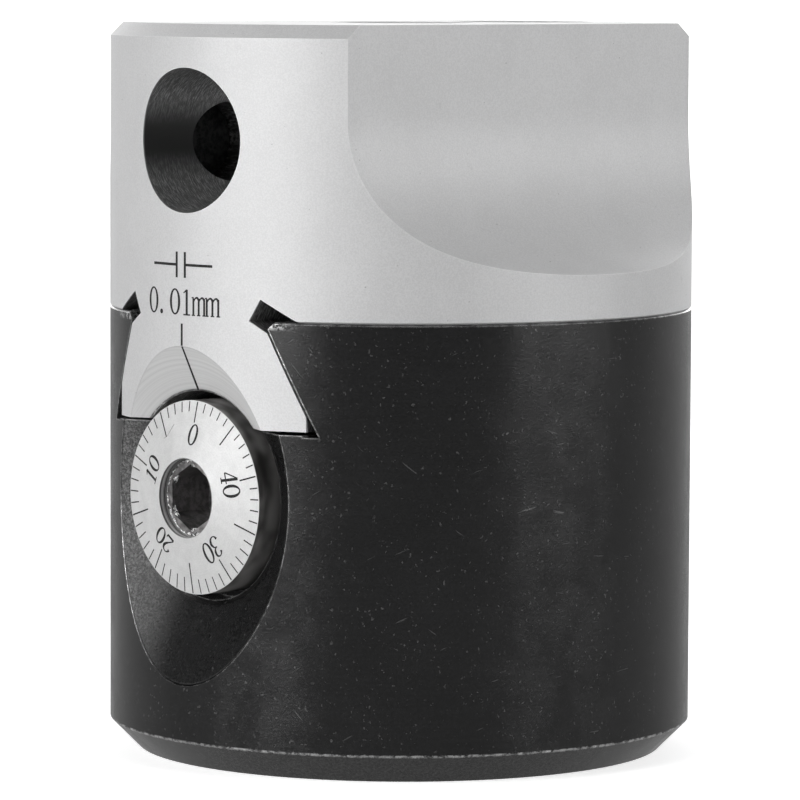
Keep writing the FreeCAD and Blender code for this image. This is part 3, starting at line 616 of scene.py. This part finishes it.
class Marker:
    """Lays filled grooves on a steel part: every point is dropped straight onto the part's face."""

    def __init__(self, node, rise, depth=0.03 * MM):
        part = NODES[node]
        mesh = bmesh.new()
        mesh.from_mesh(part.data)
        self.face = BVHTree.FromBMesh(mesh)
        mesh.free()
        self.rise = rise
        self.depth = depth
        self.mesh = bmesh.new()

    def drop(self, x, z):
        """The point on the part's face behind (x, z), and the face's outward direction."""
        hit, normal, _, _ = self.face.ray_cast(Vector((x, -0.1, z)), Vector((0, 1, 0)))
        if hit is None:
            raise RuntimeError(f"a mark runs off the part at x {x:.5f} m, z {z:.5f} m")
        return hit, (normal if normal.y < 0 else -normal)

    def stroke(self, path, to_face, closed=False):
        """One groove along a path of (x, y, width); to_face turns its x and y into the part's x and z."""
        rims = []
        count = len(path)
        for i, (x, y, width) in enumerate(path):
            if closed:
                before, after = path[i - 1], path[(i + 1) % count]
            else:
                before, after = path[max(i - 1, 0)], path[min(i + 1, count - 1)]
            along = Vector((after[0] - before[0], after[1] - before[1])).normalized()
            side = Vector((-along.y, along.x)) * width / 2
            ring = []
            for sign in (1, -1):
                hit, outward = self.drop(*to_face(x + sign * side.x, y + sign * side.y))
                ring.append(self.mesh.verts.new(hit + outward * self.rise))
                ring.append(self.mesh.verts.new(hit - outward * self.depth))
            rims.append(ring)
        spans = range(count) if closed else range(count - 1)
        for i in spans:
            a, b = rims[i], rims[(i + 1) % count]
            for first, second in ((0, 2), (2, 3), (3, 1), (1, 0)):
                self.mesh.faces.new((a[first], a[second], b[second], b[first]))
        if not closed:
            for ring in (rims[0], rims[-1]):
                self.mesh.faces.new((ring[0], ring[2], ring[3], ring[1]))

    def finish(self, name, body, finish, slot):
        bmesh.ops.recalc_face_normals(self.mesh, faces=self.mesh.faces)
        data = bpy.data.meshes.new(name)
        self.mesh.to_mesh(data)
        self.mesh.free()
        data.materials.append(finish)
        piece = bpy.data.objects.new(name, data)
        bpy.context.scene.collection.objects.link(piece)
        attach(piece, body)
        return piece


def upright(x_at, z_at, size):
    """Places a character one unit high with its foot on z_at, upright on the front face."""
    return lambda x, y: (x_at + x * size, z_at + y * size)


# ---------------------------------------------------------------- operators

class HEAD_OT_slide(Operator):
    """Give the slide and its dovetail tongue their ground steel"""

    bl_idname = "boring_head.slide"
    bl_label = "Slide"

    def execute(self, context):
        wear("slide", ground_steel(context.scene.head_finish))
        return {"FINISHED"}


class HEAD_OT_body(Operator):
    """Give the body its blackened steel"""

    bl_idname = "boring_head.body"
    bl_label = "Body"

    def execute(self, context):
        wear("body", black_steel(context.scene.head_finish))
        return {"FINISHED"}


class HEAD_OT_dial(Operator):
    """Give the dial and the lead screw behind it their turned steels"""

    bl_idname = "boring_head.dial"
    bl_label = "Dial and Lead Screw"

    def execute(self, context):
        wear("dial", dial_steel(context.scene.head_finish))
        wear("lead_screw", screw_steel())
        return {"FINISHED"}


class HEAD_OT_fittings(Operator):
    """Give the set screws, pads, nut, washers and bush their metals"""

    bl_idname = "boring_head.fittings"
    bl_label = "Screws and Fittings"

    def execute(self, context):
        black = plain_metal("set_screw_steel", (0.03, 0.03, 0.03), (0.09, 0.09, 0.09), 0.42)
        for node in (
            "slide_lock_screw", "gib_screw_front", "gib_screw_rear", "centre_bar_screw", "offset_bar_screw",
            "cross_bar_screw", "dial_set_screw",
        ):
            wear(node, black)
        brass = plain_metal("pad_brass", (0.52, 0.36, 0.13), (0.74, 0.55, 0.25), 0.34)
        for node in ("lock_pad", "gib_pad_front", "gib_pad_rear"):
            wear(node, brass)
        bronze = plain_metal("nut_bronze", (0.42, 0.27, 0.13), (0.6, 0.41, 0.22), 0.36)
        for node in ("lead_nut", "rear_bush", "front_thrust_washer", "rear_thrust_washer"):
            wear(node, bronze)
        steel = plain_metal("fitting_steel", (0.38, 0.38, 0.38), (0.58, 0.58, 0.58), 0.34)
        for node in ("thrust_ring", "nut_pin"):
            wear(node, steel)
        return {"FINISHED"}


class HEAD_OT_dial_marks(Operator):
    """Engrave the divisions and figures on the dial"""

    bl_idname = "boring_head.dial_marks"
    bl_label = "Dial Marks"

    @staticmethod
    def on_dial(turn, shift, across=0.0, out=0.0, size=1.0):
        """Places a stroke on the dial, its top outward; turn is counter-clockwise from the top, seen from the front."""
        side = Vector((math.cos(turn), math.sin(turn)))
        outward = Vector((-math.sin(turn), math.cos(turn)))

        def place(x, y):
            point = shift + side * (across + x * size) + outward * (out + y * size)
            return point.x, DIAL_CENTRE_Z + point.y

        return place

    def execute(self, context):
        marks = context.scene.head_marks
        filling = bpy.data.materials.get("mark_filling") or mark_filling(context.scene.head_finish)
        marker = Marker("dial", marks.mark_rise)
        rim = DIAL_RADIUS - 0.07 * MM
        shift = Vector((marks.scale_offset[0], marks.scale_offset[1]))
        for k in range(marks.dial_divisions):
            turn = math.tau * k / marks.dial_divisions - marks.dial_turn
            out = Vector((-math.sin(turn), math.cos(turn)))
            inner = (7.0 if k % 5 else 5.65 if k % 10 else 6.1) * MM
            lean = shift.dot(out)
            outer = -lean + math.sqrt(lean * lean - shift.length_squared + rim * rim)
            marker.stroke(
                straight((0.0, inner), (0.0, outer), marks.division_width * (1 if k % 5 else 1.2), 12),
                self.on_dial(turn, shift),
            )
        for number in range(0, marks.dial_divisions, 10):
            turn = math.tau * number / marks.dial_divisions - marks.dial_turn
            figures = str(number)
            size = marks.figure_height
            for i, figure in enumerate(figures):
                offset = (i - (len(figures) - 1) / 2) * size * 0.64
                place = self.on_dial(turn, shift, offset, marks.figure_radius - size / 2, size)
                for path, closed in slanted(glyph(figure), 0.12, 1.35):
                    marker.stroke(path, place, closed)
        marker.finish("dial_marks", "screw", filling, "dial_steel")
        scratch = Marker("dial", marks.mark_rise / 2)
        for start, end in (((-2.84, 4.94), (-2.1, 6.0)), ((-3.26, 4.74), (-2.84, 4.94))):
            scratch.stroke(
                straight([c * MM for c in start], [c * MM for c in end], 0.05 * MM),
                lambda x, z: (x, DIAL_CENTRE_Z + z),
            )
        grey = plain_metal("scratched_steel", (0.2, 0.2, 0.2), (0.4, 0.4, 0.4), 0.4)
        scratch.finish("dial_scratch", "screw", grey, "dial_steel")
        return {"FINISHED"}


class HEAD_OT_socket_burrs(Operator):
    """Build the torn metal that the broach left round the lead screw's socket"""

    bl_idname = "boring_head.socket_burrs"
    bl_label = "Socket Burrs"

    def execute(self, context):
        low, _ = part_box("lead_screw")
        rings, steps = 9, 120
        outer = 3.2 * MM
        flats = 5.0 * MM
        face = low.y - 0.005 * MM
        mesh = bmesh.new()
        rows = []
        for i in range(rings):
            share = i / (rings - 1)
            row = []
            for k in range(steps):
                turn = math.tau * k / steps
                across = (turn + math.pi / 6) % (math.pi / 3) - math.pi / 6
                hexagon = flats / 2 / math.cos(across + math.pi / 6 if across < 0 else across - math.pi / 6)
                torn = noise_at((math.cos(turn) * 2.1, math.sin(turn) * 2.1, 0.0)) * 0.3 * MM
                left = max(0.0, -math.cos(turn))
                inner = hexagon + 0.05 * MM + torn * (0.35 + left)
                radius = inner + (outer - inner) * share
                x, z = radius * math.cos(turn), radius * math.sin(turn)
                lump = noise_at((x / MM * 2.4, z / MM * 2.4, 3.7)) * 0.14 * MM * (0.3 + left)
                rim = math.sin(math.pi * share) ** 0.5
                sink = 0.35 * MM * (1 - share) ** 2 * (0.4 + 0.6 * left)
                row.append(mesh.verts.new((x, face - abs(lump) * rim + sink, DIAL_CENTRE_Z + z)))
            rows.append(row)
        for a, b in zip(rows, rows[1:]):
            for k in range(steps):
                mesh.faces.new((a[k], a[(k + 1) % steps], b[(k + 1) % steps], b[k]))
        bmesh.ops.recalc_face_normals(mesh, faces=mesh.faces)
        data = bpy.data.meshes.new("socket_burrs")
        mesh.to_mesh(data)
        mesh.free()
        data.materials.append(torn_steel())
        piece = bpy.data.objects.new("socket_burrs", data)
        context.scene.collection.objects.link(piece)
        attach(piece, "screw")
        return {"FINISHED"}


class HEAD_OT_slide_marks(Operator):
    """Engrave the index line, the division's value and the gap sign on the slide"""

    bl_idname = "boring_head.slide_marks"
    bl_label = "Slide Marks"

    def execute(self, context):
        marks = context.scene.head_marks
        filling = bpy.data.materials.get("mark_filling") or mark_filling(context.scene.head_finish)
        marker = Marker("slide", marks.mark_rise)

        def on_front(x, y):
            return x, y

        seat = BODY_HIGH.z
        marker.stroke(
            straight((-0.03 * MM, seat - 0.5 * MM), (-0.03 * MM, seat - 2.5 * MM), 0.24 * MM, 12), on_front
        )
        marker.stroke(
            straight((-0.03 * MM, seat - 2.45 * MM), (-0.38 * MM, seat - 6.2 * MM), 0.2 * MM, 40, 0.26 * MM), on_front
        )
        size = marks.letter_height
        foot = seat + 0.21 * MM
        places = (("0", -3.9, 1.0), (".", -2.74, 1.0), ("0", -0.9, 1.0), ("1", 0.54, 1.0), ("m", 2.0, 1.05),
                  ("m", 3.52, 1.05))
        for character, x_at, grown in places:
            for path, closed in slanted(glyph(character), 0.0, 1.25):
                marker.stroke(path, upright(x_at * MM, foot, size * grown), closed)
        bar = seat + 4.37 * MM
        for start, end in ((-3.85, -0.75), (0.38, 3.5)):
            marker.stroke(straight((start * MM, bar), (end * MM, bar), 0.22 * MM, 18), on_front)
        for x_at in (-0.68, 0.35):
            marker.stroke(
                straight((x_at * MM, bar - 1.07 * MM), (x_at * MM, bar + 1.07 * MM), 0.26 * MM, 10), on_front
            )
        marker.finish("slide_marks", "slide", filling, "ground_steel")
        return {"FINISHED"}


class HEAD_OT_stage(Operator):
    """Set the pale floor, the soft lights and the camera"""

    bl_idname = "boring_head.stage"
    bl_label = "Stage"

    def execute(self, context):
        stage = context.scene.head_stage
        self.floor(context, stage)
        self.sky(context, stage)
        self.camera(context, stage)
        context.scene.view_settings.view_transform = "Standard"
        return {"FINISHED"}

    def floor(self, context, stage):
        made, tree, shader = new_finish("pale_floor", 0.0, 0.9)
        shader.inputs["Specular IOR Level"].default_value = 0.1
        seen = add_node(tree, "ShaderNodeLightPath").outputs["Is Camera Ray"]
        tree.links.new(
            blend_colour(tree, seen, (0.0, 0.0, 0.0), tuple(stage.floor_colour)), shader.inputs["Base Color"]
        )
        shader.inputs["Emission Color"].default_value = (1.0, 1.0, 1.0, 1.0)
        glow = calc(tree, "MULTIPLY_ADD", seen, FLOOR_SEEN - FLOOR_GLOW, FLOOR_GLOW)
        tree.links.new(glow, shader.inputs["Emission Strength"])
        mesh = bmesh.new()
        bmesh.ops.create_circle(mesh, cap_ends=True, radius=30.0, segments=64)
        data = bpy.data.meshes.new("floor")
        mesh.to_mesh(data)
        mesh.free()
        data.materials.append(made)
        floor = bpy.data.objects.new("floor", data)
        floor.location.z = -0.02 * MM
        context.scene.collection.objects.link(floor)

    def sky(self, context, stage):
        world = bpy.data.worlds.new("studio")
        world.use_nodes = True
        context.scene.world = world
        tree = world.node_tree
        background = tree.nodes["Background"]
        direction = add_node(tree, "ShaderNodeTexCoord").outputs["Generated"]
        turned = add_node(tree, "ShaderNodeVectorRotate", {"Vector": direction}, rotation_type="Z_AXIS")
        turned.inputs["Angle"].default_value = -stage.view_turn
        parts = add_node(tree, "ShaderNodeSeparateXYZ", {0: turned.outputs[0]}).outputs
        round_about = calc(tree, "ARCTAN2", parts["X"], calc(tree, "MULTIPLY", parts["Y"], -1.0))
        degrees = calc(tree, "DEGREES", round_about)
        walls = 0.0
        for middle, half_width, brightness in WALL_LIGHTS:
            gap = calc(tree, "ABSOLUTE", calc(tree, "WRAP", calc(tree, "SUBTRACT", degrees, middle), 180.0, -180.0))
            walls = calc(tree, "ADD", walls, fade(tree, gap, half_width, 0.0, 0.0, brightness))
        light = calc(tree, "MULTIPLY", walls, fade(tree, parts["Z"], 0.85, 0.45))
        shown = add_node(tree, "ShaderNodeLightPath").outputs["Is Camera Ray"]
        light = calc(tree, "MAXIMUM", light, shown)
        colour = add_node(tree, "ShaderNodeCombineXYZ", {0: light, 1: light, 2: light})
        tree.links.new(colour.outputs[0], background.inputs["Color"])
        background.inputs["Strength"].default_value = stage.light

    def camera(self, context, stage):
        data = bpy.data.cameras.new("camera")
        data.sensor_width = 36.0
        data.lens = stage.lens
        data.clip_start = 0.01
        data.clip_end = 100.0
        made = bpy.data.objects.new("camera", data)
        aligned = Matrix.Rotation(stage.view_turn, 4, "Z")
        made.matrix_world = (
            aligned
            @ Matrix.Translation((stage.view_shift, -stage.view_distance, stage.view_height))
            @ Matrix.Rotation(math.pi / 2 - stage.view_pitch, 4, "X")
            @ Matrix.Rotation(stage.view_roll, 4, "Z")
        )
        context.scene.collection.objects.link(made)
        context.scene.camera = made


class HEAD_PT_panel(Panel):
    """The finishes, marks and stage of the boring head"""

    bl_idname = "HEAD_PT_panel"
    bl_label = "Boring Head"
    bl_space_type = "VIEW_3D"
    bl_region_type = "UI"
    bl_category = "Boring Head"

    def draw(self, context):
        for group in (context.scene.head_finish, context.scene.head_marks, context.scene.head_stage):
            box = self.layout.box()
            for name in group.bl_rna.properties.keys():
                if name not in {"rna_type", "name"}:
                    box.prop(group, name)
        for operator in OPERATORS:
            self.layout.operator(operator.bl_idname)


GROUPS = (("head_finish", HeadFinish), ("head_marks", HeadMarks), ("head_stage", HeadStage))
OPERATORS = (
    HEAD_OT_slide, HEAD_OT_body, HEAD_OT_dial, HEAD_OT_fittings, HEAD_OT_dial_marks, HEAD_OT_socket_burrs,
    HEAD_OT_slide_marks, HEAD_OT_stage,
)


def register():
    for name, group in GROUPS:
        bpy.utils.register_class(group)
        setattr(bpy.types.Scene, name, PointerProperty(type=group))
    for operator in OPERATORS:
        bpy.utils.register_class(operator)
    bpy.utils.register_class(HEAD_PT_panel)


def unregister():
    bpy.utils.unregister_class(HEAD_PT_panel)
    for operator in reversed(OPERATORS):
        bpy.utils.unregister_class(operator)
    for name, group in reversed(GROUPS):
        delattr(bpy.types.Scene, name)
        bpy.utils.unregister_class(group)


def main():
    register()
    for operator in OPERATORS:
        group, name = operator.bl_idname.split(".")
        getattr(getattr(bpy.ops, group), name)()


if __name__ == "__main__":
    main()
